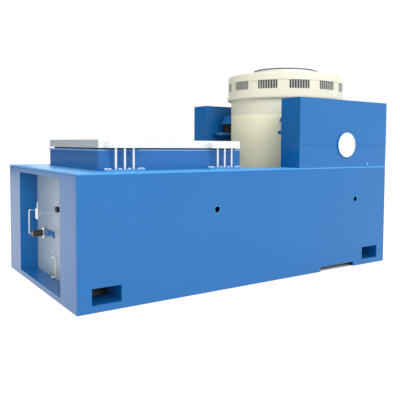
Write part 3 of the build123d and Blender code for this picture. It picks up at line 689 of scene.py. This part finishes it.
def turned(shape, profile, sides, place):
    """Adds the closed ring that a profile of radii and heights sweeps round an axis."""
    rings = [[shape.verts.new(place(radius, height, math.tau * k / sides)) for k in range(sides)]
             for radius, height in profile]
    for first, second in zip(rings, rings[1:] + rings[:1]):
        for k in range(sides):
            after = (k + 1) % sides
            shape.faces.new((first[k], first[after], second[after], second[k]))


def ring_piece(name, shape, body, finish):
    """A piece of the turned rings in a shape."""
    mesh = bpy.data.meshes.new(name)
    bmesh.ops.recalc_face_normals(shape, faces=shape.faces)
    shape.to_mesh(mesh)
    shape.free()
    smooth_shading(mesh)
    mesh.materials.append(materials[finish])
    return new_piece(name, mesh, body)


def band(name, radius, low, high, wall, sides, body, finish):
    """A round band about the shaker's axis, open at both ends."""
    shape = bmesh.new()
    profile = ((radius, low), (radius, high), (radius - wall, high), (radius - wall, low))
    turned(shape, profile, sides,
           lambda r, z, angle: (shaker_x + r * math.cos(angle), r * math.sin(angle), z))
    return ring_piece(name, shape, body, finish)


def lifting_bushes():
    """Painted bushes round the lifting holes, each with a bevelled face, on both side walls."""
    shape = bmesh.new()
    inner, outer, proud = bush_bore * mm, bush_radius * mm, bush_proud * mm
    wall_face = base_high.y
    back = wall_face - bush_sunk * mm
    profile = ((outer, back), (outer, wall_face + proud / 2), (outer - proud, wall_face + proud),
               (inner, wall_face + proud), (inner, back))
    for side in (-1, 1):
        for x in lifting_holes:
            turned(shape, profile, 48,
                   lambda r, y, angle: (x + r * math.cos(angle), side * y,
                                        lifting_height + r * math.sin(angle)))
    return ring_piece("lifting_bushes", shape, "base", "bush_enamel")


# Painted shade: a dark band behind the windows stands in for the shade inside the ring.
band("ring_window_shade", shade_sheet_radius * mm, window_low - shade_sheet_margin * mm, window_high + shade_sheet_margin * mm,
     shade_sheet_wall * mm, 120, "shaker_body", "window_shade_black")
lifting_bushes()
# A darker band round the armature's top edge.
band("armature_rim", armature_high.y + armature_rim_proud * mm, armature_high.z - armature_rim_height * mm,
     armature_high.z, armature_rim_wall * mm, 96, "armature", "dark_band_metal")

# CAD nodes that keep their own mesh
for node, finish in finish_of.items():
    if node not in edge_radius:
        nodes[node].data.materials.clear()
        nodes[node].data.materials.append(materials[finish])


# Floor, light and camera

def light_path_any(tree):
    """1 for a ray of the camera, a gloss or a clear material, else 0."""
    path = tree.nodes.new("ShaderNodeLightPath")
    seen = math_node(tree, "MAXIMUM", path.outputs["Is Camera Ray"], path.outputs["Is Glossy Ray"])
    return math_node(tree, "MAXIMUM", seen, path.outputs["Is Transmission Ray"])


def studio_world(low=0.30, front=0.44, above=0.74):
    """White behind the object. Its own light is soft, brighter from above and from the front."""
    world = bpy.data.worlds.new("studio")
    bpy.context.scene.world = world
    world.use_nodes = True
    tree = world.node_tree
    towards = add(tree, "ShaderNodeTexCoord").outputs["Generated"]
    parts = add(tree, "ShaderNodeSeparateXYZ", Vector=towards)
    from_front = ranged(tree, parts.outputs["Y"], -1.0, 0.6, front, 0.0)
    from_above = ranged(tree, parts.outputs["Z"], 0.0, 1.0, 0.0, above)
    level = math_node(tree, "ADD", low, math_node(tree, "ADD", from_front, from_above))
    seen = light_path_any(tree)
    lit = math_node(tree, "MULTIPLY", math_node(tree, "SUBTRACT", 1.0, seen), level)
    tree.links.new(math_node(tree, "ADD", seen, lit), tree.nodes["Background"].inputs["Strength"])
    tree.nodes["Background"].inputs["Color"].default_value = (1, 1, 1, 1)


def floor_material(glow=1.18, matt_share=0.32, margin=0.02):
    """White floor that still keeps a faint shadow of the object.

    Under the base it is matt alone, so that it doesn't shine out through the openings.
    """
    material = bpy.data.materials.new("studio_floor")
    material.use_nodes = True
    tree = material.node_tree
    tree.nodes.remove(tree.nodes["Principled BSDF"])
    matt = add(tree, "ShaderNodeBsdfDiffuse", Color=(0.88, 0.88, 0.88, 1)).outputs[0]
    light = add(tree, "ShaderNodeEmission", Color=(1, 1, 1, 1), Strength=glow).outputs[0]
    pale = add(tree, "ShaderNodeMixShader", i0=matt_share, i1=light, i2=matt).outputs[0]
    place = add(tree, "ShaderNodeTexCoord").outputs["Object"]
    position = add(tree, "ShaderNodeSeparateXYZ", Vector=place)
    along = math_node(tree, "ABSOLUTE", position.outputs["X"])
    across = math_node(tree, "ABSOLUTE", position.outputs["Y"])
    beyond = math_node(tree, "MAXIMUM", math_node(tree, "SUBTRACT", along, base_high.x),
                       math_node(tree, "SUBTRACT", across, base_high.y))
    outside = math_node(tree, "GREATER_THAN", beyond, -margin)
    glowing = math_node(tree, "MULTIPLY", light_path_any(tree), outside)
    both = add(tree, "ShaderNodeMixShader", i0=glowing, i1=matt, i2=pale).outputs[0]
    tree.links.new(both, tree.nodes["Material Output"].inputs["Surface"])
    return material


def stage_plane(name, corners, material):
    """A flat sheet of the stage, which isn't part of the object."""
    mesh = bpy.data.meshes.new(name)
    mesh.from_pydata(corners, [], [(0, 1, 2, 3)])
    sheet = bpy.data.objects.new(name, mesh)
    bpy.context.scene.collection.objects.link(sheet)
    mesh.materials.append(material)
    return sheet


def studio_floor(half=30.0):
    """The floor that the machine stands on."""
    stage_plane("floor", [(-half, -half, 0), (half, -half, 0), (half, half, 0), (-half, half, 0)],
                floor_material())


def dark_far_wall(left=-22.0, right=2.0, behind=12.0, low=0.14, high=7.0):
    """Far wall of the hall, left of and behind the machine, that only glossy faces show."""
    material = bpy.data.materials.new("hall_wall")
    material.use_nodes = True
    tree = material.node_tree
    tree.nodes.remove(tree.nodes["Principled BSDF"])
    dim = add(tree, "ShaderNodeEmission", Color=(0.30, 0.36, 0.42, 1), Strength=0.25).outputs[0]
    tree.links.new(dim, tree.nodes["Material Output"].inputs["Surface"])
    wall = stage_plane("far_wall", [(left, behind, low), (right, behind, low), (right, behind, high),
                                    (left, behind, high)], material)
    wall.visible_camera = False
    wall.visible_diffuse = False
    wall.visible_shadow = False
    wall.visible_transmission = False


def soft_sun(name, towards_light, strength, angle):
    """A sun with soft shadows, as a large lamp gives."""
    data = bpy.data.lights.new(name, "SUN")
    data.energy = strength
    data.angle = math.radians(angle)
    lamp = bpy.data.objects.new(name, data)
    lamp.rotation_mode = "QUATERNION"
    lamp.rotation_quaternion = Vector(towards_light).to_track_quat("Z", "Y")
    bpy.context.scene.collection.objects.link(lamp)


def photo_camera():
    """Stands where the photograph was taken from, with the photograph's own shift."""
    place = Vector((-2.2174, -3.3920, 0.9056))
    yaw, pitch, roll = math.radians(35.6589), math.radians(3.1277), math.radians(0.4817)
    frame_pixels, focal_pixels = 400, 536.14
    middle_u, middle_v = 229.82, 174.08
    forward = Vector((math.sin(yaw) * math.cos(pitch), math.cos(yaw) * math.cos(pitch), -math.sin(pitch)))
    level = Vector((math.cos(yaw), -math.sin(yaw), 0))
    upright = level.cross(forward)
    right = level * math.cos(roll) + upright * math.sin(roll)
    up = upright * math.cos(roll) - level * math.sin(roll)
    data = bpy.data.cameras.new("photo_camera")
    data.sensor_width = 36
    data.lens = focal_pixels / frame_pixels * data.sensor_width
    data.shift_x = (frame_pixels / 2 - middle_u) / frame_pixels
    data.shift_y = (middle_v - frame_pixels / 2) / frame_pixels
    data.clip_end = 100
    camera = bpy.data.objects.new("photo_camera", data)
    turn = Matrix((right, up, -forward)).transposed().to_4x4()
    camera.matrix_world = Matrix.Translation(place) @ turn
    bpy.context.scene.collection.objects.link(camera)
    bpy.context.scene.camera = camera


studio_world()
studio_floor()
dark_far_wall()
soft_sun("key", towards_light=(-0.10, -0.84, 0.46), strength=1.45, angle=35)
soft_sun("rear_fill", towards_light=(0.30, 0.75, 0.55), strength=0.8, angle=40)
photo_camera()
bpy.context.scene.view_settings.view_transform = "Standard"
